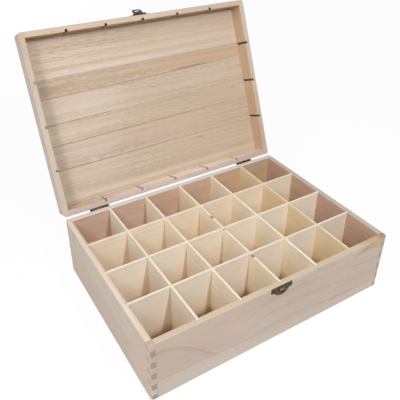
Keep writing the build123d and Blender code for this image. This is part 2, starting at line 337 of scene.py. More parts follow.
def laid(cut, name, seed, surfaceOnly=False):
    # the place on a texture, drawn out along the grain
    fine, cross, seedShare, start = weave[name]
    shift = seed * seedShare + start
    through = shift if surfaceOnly else cut["through"] * cross + shift
    return vector(cut["along"] * fine, cut["across"] * cross, through)


def boardTextures(cut, seed):
    # long streaks, fine fibres, short pores, soft clouds and warmer areas
    pore = noise(laid(cut, "pore", seed), detail=0.0)
    return {
        "streak": noise(laid(cut, "streak", seed), detail=3.0, roughness=0.55),
        "fibre": noise(laid(cut, "fibre", seed), detail=3.0, roughness=0.65),
        "pore": smooth(pore, *grain["poreRange"]),
        "cloud": noise(laid(cut, "cloud", seed), detail=3.0),
        "warm": noise(laid(cut, "warm", seed), detail=2.0),
    }


def growthRings(cut, board):
    # drawn where the board cuts them: each darkens slowly and ends at a line
    wood, seed, figure = board["wood"], board["seed"], board.get("figure")
    sway = noise(laid(cut, "sway", seed), detail=2.0) - 0.5
    flow = cut["across"] + cut["through"] * rings["tilt"] + sway * (wood["sway"] * rings["swing"])
    if figure:
        run = (cut["along"] - figure["start"]) / figure["length"]
        flow = flow + curved(run, figure["bends"]) * figure["rise"] - figure["ringAt"]
    phase = flow / wood["ringWidth"] + (0.0 if figure else seed * rings["seedStep"])
    ring = phase.maths("FRACT", phase)
    late = ring ** wood["ringBand"] * (1.0 - smooth(ring, rings["lineFrom"], 1.0)) * rings["gain"]
    gaps = smooth(noise(laid(cut, "ringGap", seed, surfaceOnly=True), detail=1.0), *rings["gapRange"])
    shown = gaps * (1.0 - rings["gapShare"]) + rings["gapShare"]
    mark = late * shown * board.get("ringDark", wood["ringDark"])
    if figure:
        # one ring stands out at the start of the board, the others show only further on
        lone = 1.0 - smooth(abs(phase + 0.5), *rings["loneRange"])
        others = smooth(run, *rings["othersRange"]) * rings["othersShare"]
        mark = mark * (lone * curved(run, figure["lone"]) + others)
    return late, mark


def drifted(cut, colour, drift):
    # another tone that grows along the board
    return mixed(smooth(cut["along"], drift["from"], drift["to"]) * drift["share"], colour, drift["colour"])


def sandedColour(cut, texture, board):
    wood = board["wood"]
    shade = (smooth(texture["streak"], *grain["streakRange"]) - 0.5) * wood["streaks"]
    shade = shade + (texture["fibre"] - 0.5) * (wood["fibres"] * 2.0)
    shade = shade + (smooth(texture["cloud"], *grain["cloudRange"]) - 0.5) * wood["clouds"]
    shade = shade + texture["pore"] * grain["poreShade"] + board.get("tone", grain["tone"])
    colour = mixed(clamped(shade), wood["pale"], wood["tan"])
    warm = smooth(texture["warm"], *grain["warmRange"]) * board.get("blush", grain["blush"])
    colour = mixed(warm, colour, wood["blush"])
    if "drift" in board:
        colour = drifted(cut, colour, board["drift"])
    for low in board.get("paintedDepthShades", ()):
        # painted shade: the depths are painted warmer and darker, standing in for bounced light and shadow
        # low in the compartments
        deep = 1.0 - smooth(cut["up"], low["from"], low["to"])
        colour = mixed(deep * low["share"], colour, low["colour"])
    return colour


def innerColour(cut, texture, inside, colour):
    # the inner face keeps the redder tone that sanding took from the rest, with painted light and shade as
    # well: lighter inside the box and on the lid's back rail, darker on the lid's front rail
    inner = 1.0 - smooth(cut["depth"], innerFace["from"], innerFace["to"])
    streaked = (texture["streak"] + texture["fibre"] - 1.0) * innerFace["streaks"]
    grained = clamped(streaked + (texture["cloud"] - 0.5) * innerFace["clouds"] + innerFace["middle"])
    tone = mixed(grained, inside["colour"], inside["dark"])
    if "drift" in inside:
        tone = drifted(cut, tone, inside["drift"])
    return mixed(inner * inside["share"], colour, tone)


def rimColour(cut, texture, rim, colour):
    # sanded to another tone on top, and warmer along the inner edge
    rise = smooth(cut["up"], rim["height"] - rimFade["from"], rim["height"] - rimFade["to"])
    sanded = rim["share"] - (texture["fibre"] - 0.5) * rimFade["fibres"]
    colour = mixed(rise * sanded, colour, rim["colour"])
    if "edgeWidth" in rim:
        wander = (texture["cloud"] - 0.5) * rimFade["wander"]
        edge = 1.0 - smooth(cut["depth"] + wander, 0.0, rim["edgeWidth"])
        colour = mixed(rise * edge * rim["edgeShare"], colour, rim["edgeColour"])
    return colour


def patchedColour(cut, texture, board, colour):
    # soft patches of another tone, with ragged edges; a slope leans one across the board
    place = laid(cut, "raggedEdge", board["seed"], surfaceOnly=True)
    ragged = (noise(place, detail=4.0, roughness=0.6) - 0.5) * patchEdge["ragged"]
    for spot in board["patches"]:
        along = cut["along"] - spot["along"]
        across = cut["across"] - spot["across"] - along * spot["slope"]
        near = (along / spot["long"]) ** 2.0 + (across / spot["wide"]) ** 2.0 + ragged
        share = (1.0 - smooth(near, patchEdge["from"], patchEdge["to"])) * spot["share"]
        share = share * (1.0 + (texture["fibre"] - 0.5) * patchEdge["fibres"])
        colour = mixed(clamped(share), colour, spot["colour"])
    return colour


def tintedColour(cut, board, colour):
    if "tint" in board:
        colour = colour.vectorMaths("MULTIPLY", colour, board["tint"])
    if "sawn" in board:
        # the inner and the sawn faces of the lid's rails; their outer faces match the box
        sawn = board["sawn"]
        share = 1.0 - smooth(cut["depth"], sawn["skinFrom"], sawn["skinTo"])
        share = share * (1.0 - smooth(cut["up"], sawn["topFrom"], sawn["topTo"]))
        colour = mixed(share, colour, colour.vectorMaths("MULTIPLY", colour, sawn["tint"]))
    return colour


def endGrainShare(bench, board):
    # end grain drinks more light, and the rounded corners fade into it
    way = grainWays[board["axes"][0]]
    if board["body"] != "box":
        way = shutTurn.transposed() @ way
    normal = bench.node("ShaderNodeTexCoord", out="Normal")
    facing = abs(normal.vectorMaths("DOT_PRODUCT", normal, way, out=1))
    return smooth(facing, *grain["endRange"])


def glueAndEdgeShadeLine(cut, seam, seed):
    # dark share of a glue line, whose strength changes along the board; where the lid panel meets its rails
    # the line is a dark joint with painted contact shade
    run = (cut["along"] - seam["start"]) / seam["length"]
    line = seam["from"] + run * (seam["to"] - seam["from"])
    near = 1.0 - smooth(abs(cut["across"] - line), seam["width"] * glue["core"], seam["width"])
    spread = vector(cut["along"] * glue["breaks"], seed + seam["from"] * glue["seamShift"], 0.0)
    broken = smooth(noise(spread, detail=1.0), *glue["breakRange"])
    strength = glue["unbroken"] + broken * (1.0 - glue["unbroken"])
    return near * curved(run, seam["strength"]) * strength * seam["dark"]


def fleck(cut, mark, seed):
    # dark share of a small mark: a ragged spot, long or round
    along, across = cut["along"] / mark["long"], cut["across"] / mark["wide"]
    ragged = noise(vector(along, across, seed), scale=fleckEdge["scale"], detail=2.0) - 0.5
    near = (along - mark["along"] / mark["long"]) ** 2.0 + (across - mark["across"] / mark["wide"]) ** 2.0
    near = near + ragged * fleckEdge["ragged"]
    return (1.0 - smooth(near, *fleckEdge["range"])) * mark["dark"]


def jointLines(cut, joint):
    # the fine dark gaps round the fingers, at both ends of a wall
    half, fade = joint["width"] / 2, joint["fade"]
    row = (cut["up"] - joint["start"]) / joint["pitch"]
    step = abs(row.maths("FRACT", row + 0.5) - 0.5) * joint["pitch"]
    reach = abs(cut["along"])
    level = (1.0 - smooth(step, half * 0.5, half)) * smooth(reach, joint["from"] - fade, joint["from"])
    upright = 1.0 - smooth(abs(reach - joint["from"]), half * 0.5, half)
    return level.maths("MAXIMUM", level, upright) * joint["dark"]


def grooveShadeAndScorch(cut, groove):
    # the inside of each groove is painted dark: painted shade in the cut, with a scorched tone; past the
    # last one there is only the corner joint
    pitch, fade = groove["pitch"], groove["fade"]
    deep = (cut["through"] - groove["face"]) * groove["outward"]
    shifted = cut["along"] / pitch + 0.5
    offset = abs(shifted.maths("FRACT", shifted) - 0.5) * pitch
    inside = smooth(deep, *(fade * share for share in sawEdge["skin"]))
    inside = inside * (1.0 - smooth(deep, groove["depth"], groove["depth"] * sawEdge["end"]))
    inside = inside * (1.0 - smooth(abs(cut["along"]), groove["reach"], groove["reach"] + fade))
    inside = inside * (1.0 - smooth(offset, groove["half"], groove["half"] * sawEdge["side"]))
    return inside * groove["dark"]


def dirtAndShadeShare(cut, texture, board):
    # what has settled in pores, joints, glue lines and small marks, with the painted contact shade where
    # the lid panel meets its rails
    dirtAndShade = texture["pore"] * grain["poreDirt"]
    if "joint" in board:
        dirtAndShade = dirtAndShade + jointLines(cut, board["joint"])
    for seam in board.get("seams", ()):
        dirtAndShade = dirtAndShade + glueAndEdgeShadeLine(cut, seam, board["seed"])
    for mark in board.get("marks", ()):
        dirtAndShade = dirtAndShade + fleck(cut, mark, board["seed"])
    return clamped(dirtAndShade)


def woodMaterial(name, board):
    # board["axes"] names the directions along the grain, across the board and through it
    material, bench = newMaterial(name)
    wood = board["wood"]
    cut = boardCut(bench, board)
    texture = boardTextures(cut, board["seed"])
    fibre = texture["fibre"]

    colour = sandedColour(cut, texture, board)
    if "inside" in board:
        colour = innerColour(cut, texture, board["inside"], colour)
    if "rim" in board:
        colour = rimColour(cut, texture, board["rim"], colour)
    if "patches" in board:
        colour = patchedColour(cut, texture, board, colour)
    late, ringMark = growthRings(cut, board)
    colour = mixed(clamped(ringMark), colour, wood["lateWood"])
    colour = tintedColour(cut, board, colour)
    endGrain = endGrainShare(bench, board)
    speck = noise(cut["place"], scale=grain["speckScale"], detail=1.0) - 0.5
    endShare = endGrain * board.get("endShare", grain["endShare"]) * (1.0 + speck * grain["speckShare"])
    colour = mixed(endShare, colour, wood["endGrain"])
    colour = mixed(dirtAndShadeShare(cut, texture, board), colour, grain["dirtAndShade"])
    if "groove" in board:
        colour = mixed(grooveShadeAndScorch(cut, board["groove"]), colour, board["groove"]["colour"])

    height = fibre * relief["fibre"] + texture["streak"] * relief["streak"]
    height = height - texture["pore"] * relief["pore"] - late * relief["ring"]
    bump = height.node(
        "ShaderNodeBump",
        {},
        {"Strength": sheen["bumpStrength"], "Distance": wood["bump"], "Height": height},
    )
    rough = sheen["rough"] + (fibre - 0.5) * sheen["fibreRough"] + endGrain * sheen["endRough"]
    bsdf = bench.node(
        "ShaderNodeBsdfPrincipled",
        {},
        {"Base Color": colour, "Roughness": rough, "Normal": bump, "Specular IOR Level": sheen["specular"]},
    )
    bench.node("ShaderNodeOutputMaterial", {}, {"Surface": bsdf})
    return material


def dress(node, material):
    piece = frame["nodes"][node]
    for slot in piece.material_slots:
        slot.material = material
    if not piece.material_slots:
        piece.data.materials.append(material)


def softSpot(along, across, long, wide, share, colour, slope=0.0):
    # a soft patch of another tone: its middle, its half length and half width
    return {
        "along": along, "across": across, "long": long, "wide": wide,
        "share": share, "colour": colour, "slope": slope,
    }


def middle(node):
    low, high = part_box(node)
    return (low + high) / 2


# sizes of the box, read from the CAD
boardLow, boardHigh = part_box("box_front_upper_board")
wallStart, wallLength = boardLow.x, boardHigh.x - boardLow.x
wallThickness = boardHigh.y - boardLow.y
rimHeight = boardHigh.z
insideHalf = (-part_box("box_left_panel")[1].x, -boardHigh.y)  # to the walls' inner faces, along x and y
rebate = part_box("lid_board_1")[1].x - insideHalf[0]
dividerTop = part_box("cross_divider_1")[1].z
crossPitch = abs(middle("cross_divider_2").x - middle("cross_divider_1").x)
longPitch = abs(middle("long_divider_2").y - middle("long_divider_1").y)
crossCount, longCount, lidBoardCount = 5, 3, 6

# walls: the four sides of the box, and the rails that were sawn off with the lid
walls = {
    "seeds": {"front": 3.0, "back": 5.0, "left": 6.0, "right": 7.0},
    "lowerBoardSeed": 8.0,
    "bottomSeed": 9.0,
    # inner faces: the wood's redder tone, lifted by painted light against the shade inside the box
    "boxInnerToneAndLight": {
        "front": (0.720, 0.500, 0.365), "back": (0.680, 0.472, 0.352),
        "left": (0.720, 0.500, 0.365), "right": (0.690, 0.468, 0.340),
    },
    "innerDark": (0.560, 0.360, 0.240),
    "innerShare": 0.92,
    # painted shade darkens the lid's front rail inside, painted light lifts its back rail
    "lidInnerLightAndShade": {
        "front": (0.420, 0.270, 0.180), "back": (0.840, 0.730, 0.620),
        "left": (0.560, 0.410, 0.300), "right": (0.620, 0.450, 0.325),
    },
    "lidInnerDark": (0.500, 0.330, 0.225),
    "joint": {
        "pitch": 0.0086, "start": rimHeight, "from": insideHalf[0],
        "width": 0.0006, "fade": 0.0001, "dark": 0.22,
    },
    "frontSeam": {
        "start": wallStart, "length": wallLength, "from": 0.0265, "to": 0.0120,
        "width": 0.0007, "dark": 0.30,
        "strength": ((0.0, 1.0), (0.25, 0.9), (0.45, 0.45), (0.7, 0.2), (1.0, 0.3)),
    },
    "frontFigure": {
        "start": wallStart, "length": wallLength, "rise": 0.070, "ringAt": 0.0424,
        "bends": (
            (0.0, 0.20), (0.055, 0.22), (0.10, 0.30), (0.147, 0.43), (0.182, 0.57), (0.225, 0.80),
            (0.29, 0.95), (0.33, 0.70), (0.345, 0.50), (0.36, 0.385), (0.40, 0.30), (0.44, 0.23),
            (0.55, 0.20), (0.73, 0.245), (0.82, 0.30), (0.92, 0.36), (1.0, 0.40),
        ),
        "lone": ((0.0, 0.5), (0.06, 0.9), (0.17, 1.0), (0.24, 0.45), (0.32, 0.12), (1.0, 0.0)),
    },
    "frontPatches": (  # along the board, up it, half length, half width, share, colour
        softSpot(-0.126, 0.042, 0.034, 0.017, 0.40, (0.475, 0.375, 0.320)),
        softSpot(-0.029, 0.042, 0.034, 0.020, 0.45, (0.560, 0.485, 0.415)),
        softSpot(0.130, 0.028, 0.038, 0.018, 0.45, (0.530, 0.405, 0.340)),
        softSpot(0.030, 0.047, 0.048, 0.003, 0.35, (0.450, 0.360, 0.305), slope=-0.08),
        softSpot(0.109, 0.018, 0.027, 0.0025, 0.35, (0.430, 0.330, 0.280), slope=-0.05),
        softSpot(0.060, 0.0685, 0.090, 0.003, 0.30, (0.470, 0.375, 0.325), slope=-0.04),
        softSpot(-0.085, 0.0695, 0.010, 0.0015, 0.45, (0.400, 0.310, 0.260)),
        softSpot(0.115, 0.0820, 0.034, 0.0065, 0.45, (0.600, 0.505, 0.390)),
        softSpot(0.150, 0.0820, 0.026, 0.0095, 0.95, (0.510, 0.365, 0.235)),
        softSpot(0.130, 0.0755, 0.014, 0.0036, 0.45, (0.300, 0.245, 0.185), slope=0.35),
        softSpot(0.162, 0.0840, 0.008, 0.0030, 0.80, (0.430, 0.275, 0.175)),
        softSpot(0.000, 0.0845, 0.120, 0.0010, 0.45, (0.600, 0.500, 0.370)),
    ),
    "leftPatches": (
        softSpot(0.020, 0.081, 0.050, 0.0035, 0.40, (0.600, 0.490, 0.370)),
        softSpot(-0.105, 0.045, 0.030, 0.045, 0.45, (0.555, 0.430, 0.355)),
        softSpot(0.085, 0.035, 0.012, 0.014, 0.40, (0.560, 0.435, 0.350)),
    ),
    "rims": {  # tone of the rim, then of the edge on its inner side
        "front": {"share": 0.60, "colour": (0.600, 0.510, 0.390), "edgeShare": 0.65,
                  "edgeColour": (0.560, 0.390, 0.270), "edgeWidth": 0.0022},
        "left": {"share": 0.75, "colour": (0.700, 0.610, 0.515), "edgeShare": 0.75,
                 "edgeColour": (0.500, 0.330, 0.235), "edgeWidth": 0.0042},
        "right": {"share": 0.60, "colour": (0.610, 0.530, 0.455), "edgeShare": 0.45,
                  "edgeColour": (0.560, 0.400, 0.290), "edgeWidth": 0.0022},
        "back": {"share": 0.95, "colour": (0.690, 0.605, 0.535), "edgeShare": 0.20,
                 "edgeColour": (0.600, 0.440, 0.320), "edgeWidth": 0.0012},
    },
    "grooves": {  # half width, share and colour of the painted shade and scorch in the saw cuts of each rail of the lid
        "front": (0.00175, 0.95, (0.060, 0.035, 0.025)),
        "back": (0.00100, 0.55, (0.330, 0.210, 0.130)),
        "left": (0.00165, 0.90, (0.110, 0.060, 0.035)),
        "right": (0.00165, 0.90, (0.210, 0.100, 0.055)),
    },
    "grooveDepth": 0.0031,
    "grooveFade": 0.0001,
    "upperRings": 0.48,
    "lowerRings": 0.06,
    "leftRings": 0.08,
    "lowerTone": 0.20,
    "leftTone": 0.20,
    "leftRailTone": 0.25,
    "frontDrift": {"from": 0.02, "to": 0.16, "share": 0.35, "colour": (0.600, 0.500, 0.420)},
    "backDrift": {"from": -0.02, "to": 0.15, "share": 0.75, "colour": (0.600, 0.400, 0.225)},
    "frontTint": (0.975, 0.955, 0.915),
    "leftTint": (1.05, 1.03, 0.98),
    "rightTint": (0.90, 0.88, 0.87),
    "sawnTints": {
        "front": (1.12, 1.09, 0.97), "back": (1.10, 1.08, 1.11),
        "left": (0.95, 0.94, 0.91), "right": (1.16, 1.19, 1.12),
    },
    "sawnFade": {
        "skinFrom": wallThickness - 0.0006, "skinTo": wallThickness - 0.0001,
        "topFrom": 0.1088, "topTo": 0.1100,
    },
    "endShares": {"front": 0.15, "back": 0.25, "left": 0.80, "right": 0.45},
}


def wallBoard(body, side, recipe, **more):
    # a wall or rail of one side: its inner face toned with painted light and shade, its rim toned and, on
    # the lid, its saw cuts painted dark with shade and scorch
    lengthways = side in ("front", "back")
    outward = -1.0 if side in ("front", "left") else 1.0
    face = insideHalf[1 if lengthways else 0] * outward
    board = {
        "body": body, "axes": "xzy" if lengthways else "yzx", "wood": wallWood,
        "seed": recipe["seeds"][side], "endShare": recipe["endShares"][side],
    }
    board["inside"] = {
        "face": face, "outward": outward, "share": recipe["innerShare"],
        "colour": recipe["boxInnerToneAndLight" if body == "box" else "lidInnerLightAndShade"][side],
        "dark": recipe["innerDark" if body == "box" else "lidInnerDark"],
    }
    if body == "box":
        board["rim"] = {"height": rimHeight, **recipe["rims"][side]}
        if side == "front":
            board["joint"] = recipe["joint"]
        if side == "back":
            board["inside"]["drift"] = recipe["backDrift"]
    else:
        pitch, count = (crossPitch, crossCount) if lengthways else (longPitch, longCount)
        half, dark, colour = recipe["grooves"][side]
        board["sawn"] = {"tint": recipe["sawnTints"][side], **recipe["sawnFade"]}
        board["groove"] = {
            "face": face, "outward": outward, "pitch": pitch, "reach": pitch * count / 2, "half": half,
            "depth": recipe["grooveDepth"], "fade": recipe["grooveFade"], "dark": dark, "colour": colour,
        }
    board.update(more)
    return woodMaterial(f"{body} {side} wood", board)


def dressWalls(recipe):
    # the front's upper board shares its grain with the rail above it
    seams, figure, frontTint = [recipe["frontSeam"]], recipe["frontFigure"], recipe["frontTint"]
    upper = wallBoard(
        "box", "front", recipe, figure=figure, seams=seams, patches=recipe["frontPatches"],
        ringDark=recipe["upperRings"], drift=recipe["frontDrift"], tint=frontTint,
    )
    lower = wallBoard(
        "box", "front", recipe, seed=recipe["lowerBoardSeed"], seams=seams,
        tone=recipe["lowerTone"], ringDark=recipe["lowerRings"],
    )
    left = wallBoard(
        "box", "left", recipe, patches=recipe["leftPatches"], tone=recipe["leftTone"],
        ringDark=recipe["leftRings"], tint=recipe["leftTint"],
    )
    leftRail = wallBoard("lid", "left", recipe, tone=recipe["leftRailTone"], tint=recipe["leftTint"])
    dress("box_front_upper_board", upper)
    dress("box_front_lower_board", lower)
    dress("box_left_panel", left)
    dress("box_right_panel", wallBoard("box", "right", recipe, tint=recipe["rightTint"]))
    dress("box_back_panel", wallBoard("box", "back", recipe))
    dress("lid_front_rail", wallBoard("lid", "front", recipe, figure=figure, tint=frontTint))
    dress("lid_left_rail", leftRail)
    dress("lid_right_rail", wallBoard("lid", "right", recipe, tint=recipe["rightTint"]))
    dress("lid_back_rail", wallBoard("lid", "back", recipe))
    bottom = {"body": "box", "axes": "xyz", "wood": bottomWood, "seed": recipe["bottomSeed"]}
    dress("box_bottom_panel", woodMaterial("bottom wood", bottom))


dressWalls(walls)

# lid panel: six boards with slanted glue lines, with painted shade that turns them browner towards the
# right end
lidPanel = {
    "halfLength": insideHalf[0] + rebate,
    "halfDepth": insideHalf[1] + rebate,
    "edgeInset": rebate + 0.0003,  # from the panel's edge to the dark line where it meets the rails, a joint with painted contact shade
    "seedStart": 11.0,
    "seedStep": 1.37,
    "leftShares": (0.0, 0.247, 0.357, 0.506, 0.626, 0.770, 1.0),
    "rightShares": (0.0, 0.247, 0.332, 0.481, 0.609, 0.762, 1.0),
    "lineWidth": 0.0007,
    "lineDark": (0.55, 0.32, 0.82, 0.85, 0.78, 0.85, 0.45),
    "lineStrength": (  # of each glue line, along it
        ((0.0, 1.0), (1.0, 1.0)),
        ((0.0, 0.8), (0.5, 0.9), (1.0, 0.9)),
        ((0.0, 0.8), (0.3, 0.7), (0.6, 0.8), (0.7, 1.0), (0.82, 0.9), (0.9, 0.3), (1.0, 0.2)),
        ((0.0, 1.0), (0.28, 0.9), (0.33, 0.15), (0.6, 0.25), (1.0, 0.35)),
        ((0.0, 1.0), (0.25, 0.9), (0.45, 0.6), (0.7, 0.55), (1.0, 0.3)),
        ((0.0, 1.0), (0.1, 0.8), (0.35, 0.55), (0.7, 0.5), (1.0, 0.4)),
        ((0.0, 1.0), (1.0, 1.0)),
    ),
    "tones": (0.30, 0.62, 0.28, 0.42, 0.36, 0.42),
    "blush": (0.35, 0.35, 0.45, 0.40, 0.60, 0.45),
    # painted shade: browner towards the right, where less light falls
    "rightwardShade": {"from": -0.15, "to": 0.10, "share": 0.45, "colour": (0.530, 0.405, 0.285)},
    "tints": (
        (0.98, 0.97, 0.96), (0.94, 0.90, 0.85), (0.94, 0.92, 0.91),
        (0.96, 0.95, 0.92), (0.95, 0.93, 0.92), (0.98, 0.98, 0.96),
    ),
    "patches": (  # of each board: along it, towards the back, half length, half width, share, colour
        (
            softSpot(0.000, -0.0760, 0.260, 0.0026, 0.22, (0.690, 0.600, 0.455)),
            softSpot(0.000, -0.0698, 0.260, 0.0040, 0.38, (0.500, 0.400, 0.300)),
            softSpot(-0.040, -0.0640, 0.200, 0.0045, 0.30, (0.700, 0.610, 0.515)),
            softSpot(0.060, -0.0950, 0.110, 0.0220, 0.35, (0.600, 0.515, 0.375)),
            softSpot(0.141, -0.0860, 0.016, 0.0060, 0.60, (0.620, 0.425, 0.315)),
        ),
        (
            softSpot(-0.030, -0.0560, 0.130, 0.0034, 0.50, (0.470, 0.375, 0.305)),
            softSpot(0.105, -0.0500, 0.110, 0.0110, 0.75, (0.540, 0.375, 0.250)),
            softSpot(0.070, -0.0392, 0.032, 0.0018, 0.75, (0.330, 0.205, 0.125)),
            softSpot(-0.080, -0.0460, 0.045, 0.0060, 0.40, (0.580, 0.470, 0.340)),
        ),
        (
            softSpot(-0.100, -0.0170, 0.060, 0.0180, 0.45, (0.680, 0.580, 0.500)),
            softSpot(0.097, -0.0210, 0.055, 0.0120, 0.45, (0.580, 0.520, 0.385)),
        ),
        (
            softSpot(-0.125, 0.0150, 0.040, 0.0130, 0.40, (0.640, 0.550, 0.440)),
            softSpot(0.125, 0.0115, 0.055, 0.0150, 0.65, (0.555, 0.415, 0.305)),
            softSpot(0.140, 0.0065, 0.006, 0.0025, 0.40, (0.400, 0.290, 0.210)),
        ),
        (
            softSpot(-0.105, 0.0415, 0.050, 0.0150, 0.45, (0.660, 0.560, 0.490)),
            softSpot(0.045, 0.0360, 0.045, 0.0090, 0.55, (0.600, 0.440, 0.330)),
        ),
        (
            softSpot(-0.112, 0.0740, 0.060, 0.0130, 0.40, (0.660, 0.560, 0.480)),
            softSpot(0.100, 0.0840, 0.100, 0.0280, 0.55, (0.595, 0.450, 0.330)),
            softSpot(0.000, 0.0940, 0.260, 0.0045, 0.32, (0.520, 0.420, 0.310)),
            softSpot(0.145, 0.0965, 0.035, 0.0032, 0.55, (0.490, 0.360, 0.240)),
            softSpot(0.000, 0.1050, 0.260, 0.0040, 0.35, (0.680, 0.575, 0.440)),
        ),
    ),
    "fleck": {"along": 0.0665, "across": 0.0690, "long": 0.0090, "wide": 0.0010, "dark": 0.45},
}


def panelSeam(panel, index):
    # the line in front of a board; the first and the last are where the panel meets the rails, dark joints
    # that carry painted contact shade too
    reach = panel["halfDepth"] - (panel["edgeInset"] if index in (0, lidBoardCount) else 0.0)
    return {
        "start": -panel["halfLength"],
        "length": 2 * panel["halfLength"],
        "from": (2 * panel["leftShares"][index] - 1) * reach,
        "to": (2 * panel["rightShares"][index] - 1) * reach,
        "width": panel["lineWidth"],
        "dark": panel["lineDark"][index],
        "strength": panel["lineStrength"][index],
    }


def dressLidPanel(panel):
    for index in range(lidBoardCount):
        board = {
            "body": "lid", "axes": "xyz", "wood": lidWood,
            "seed": panel["seedStart"] + (index + 1) * panel["seedStep"],
            "seams": [panelSeam(panel, index), panelSeam(panel, index + 1)],
            "tone": panel["tones"][index], "blush": panel["blush"][index], "drift": panel["rightwardShade"],
            "patches": panel["patches"][index], "tint": panel["tints"][index],
        }
        if index == lidBoardCount - 1:
            board["marks"] = [panel["fleck"]]
        dress(f"lid_board_{index + 1}", woodMaterial(f"lid board {index + 1} wood", board))


dressLidPanel(lidPanel)

# dividers: thin boards across and along the box, with painted shade that makes them warmer and darker in
# the depths
dividers = {
    "top": {"height": dividerTop, "share": 0.80, "colour": (0.710, 0.635, 0.510)},
    "paintedDepthShades": (  # painted shade of the depths: a warmer tone, then a darker one near the bottom, each fading out between two heights
        {"from": 0.012, "to": 0.066, "share": 0.65, "colour": (0.780, 0.530, 0.275)},
        {"from": 0.010, "to": 0.034, "share": 0.75, "colour": (0.440, 0.257, 0.095)},
    ),
    "crossSeed": (30.0, 2.1),  # start and step
    "longSeed": (50.0, 1.9),
    "crossTints": (
        (1.03, 1.05, 1.08), (1.08, 1.08, 1.08), (1.08, 1.08, 1.03), (1.08, 1.10, 1.08), (0.99, 0.91, 0.75),
    ),
    "longTints": ((0.98, 1.01, 1.08), (1.03, 1.05, 1.11), (1.02, 1.01, 1.00)),
    "speckedDivider": 3,
    "specks": (  # along it, up it
        {"along": 0.0270, "across": dividerTop, "long": 0.0035, "wide": 0.0022, "dark": 0.75},
        {"along": -0.0020, "across": dividerTop, "long": 0.0030, "wide": 0.0022, "dark": 0.60},
        {"along": -0.0640, "across": dividerTop, "long": 0.0040, "wide": 0.0022, "dark": 0.70},
    ),
}


def dividerBoard(recipe, axes, seed, number, tint):
    start, step = seed
    return {
        "body": "box", "axes": axes, "wood": dividerWood, "seed": start + number * step,
        "rim": recipe["top"], "paintedDepthShades": recipe["paintedDepthShades"], "tint": tint,
    }


def dressDividers(recipe):
    for number, tint in enumerate(recipe["crossTints"], 1):
        board = dividerBoard(recipe, "yzx", recipe["crossSeed"], number, tint)
        if number == recipe["speckedDivider"]:
            board["marks"] = recipe["specks"]
        dress(f"cross_divider_{number}", woodMaterial(f"cross divider {number} wood", board))
    for number, tint in enumerate(recipe["longTints"], 1):
        board = dividerBoard(recipe, "xzy", recipe["longSeed"], number, tint)
        dress(f"long_divider_{number}", woodMaterial(f"long divider {number} wood", board))


dressDividers(dividers)
print("wood dressed")

# aged bronze of the hinges and the clasp
bronze = {
    "deep": (0.026, 0.013, 0.003),
    "warm": (0.130, 0.087, 0.045),
    "worn": (0.400, 0.305, 0.200),
    "patchScale": 200.0,
    "patchRange": (0.25, 0.75),
    "mottleScale": 420.0,
    "wornRange": (0.54, 0.72),
    "wornShare": 0.30,
    "roughness": 0.45,
    "mottleRough": 0.30,
    "scratches": (300.0, 2600.0, 2600.0),
    "mottleRelief": 0.7,
    "scratchRelief": 0.3,
    "bump": 0.00006,
    "bumpStrength": 0.5,
}
# a darker copy of the bronze for the clasp on the lid: painted shade, with a darker patina on the back of
# its sheet
claspShadedBronze = {
    **bronze,
    "deep": (0.018, 0.010, 0.003),
    "warm": (0.085, 0.056, 0.029),
    "worn": (0.250, 0.190, 0.125),
}
noseTip = -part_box("catch_plate")[0].y
catchBronze = {  # handling has polished the nose, which stands proudest
    **bronze,
    "ridge": {
        "from": noseTip - 0.00137, "to": noseTip - 0.00037,
        "share": 0.35, "mottled": 0.45, "mottleRange": (0.40, 0.60),
    },
}


def bronzeMaterial(name, recipe):
    material, bench = newMaterial(name)
    place = bench.node("ShaderNodeTexCoord", out="Object")
    mottle = noise(place, scale=recipe["mottleScale"], detail=3.0, roughness=0.6)
    patina = noise(place, scale=recipe["patchScale"], detail=2.0)
    scratch = noise(place.vectorMaths("MULTIPLY", place, recipe["scratches"]), detail=1.0)
    colour = mixed(smooth(patina, *recipe["patchRange"]), recipe["deep"], recipe["warm"])
    worn = smooth(mottle, *recipe["wornRange"]) * recipe["wornShare"]
    if "ridge" in recipe:
        ridge = recipe["ridge"]
        outward = place.vectorMaths("DOT_PRODUCT", place, (0.0, -1.0, 0.0), out=1)
        proud = smooth(outward, ridge["from"], ridge["to"])
        polish = ridge["share"] + smooth(mottle, *ridge["mottleRange"]) * ridge["mottled"]
        worn = worn * (1.0 - proud) + proud * polish
    colour = mixed(worn, colour, recipe["worn"])
    height = mottle * recipe["mottleRelief"] + scratch * recipe["scratchRelief"]
    bump = height.node(
        "ShaderNodeBump",
        {},
        {"Strength": recipe["bumpStrength"], "Distance": recipe["bump"], "Height": height},
    )
    rough = recipe["roughness"] + (mottle - 0.5) * recipe["mottleRough"]
    bsdf = bench.node(
        "ShaderNodeBsdfPrincipled",
        {},
        {"Base Color": colour, "Roughness": rough, "Normal": bump, "Metallic": 1.0},
    )
    bench.node("ShaderNodeOutputMaterial", {}, {"Surface": bsdf})
    return material


bronzeLook = bronzeMaterial("aged bronze", bronze)
claspShadedLook = bronzeMaterial("aged bronze clasp shaded", claspShadedBronze)
catchLook = bronzeMaterial("aged bronze catch", catchBronze)
ownLooks = {
    "clasp_plate": claspShadedLook, "clasp_tongue": claspShadedLook, "clasp_pin": claspShadedLook, "catch_plate": catchLook,
}
for nodeName in frame["nodes"]:
    if nodeName.startswith(("hinge_", "catch_", "clasp_")):
        dress(nodeName, ownLooks.get(nodeName, bronzeLook))
print("bronze dressed")

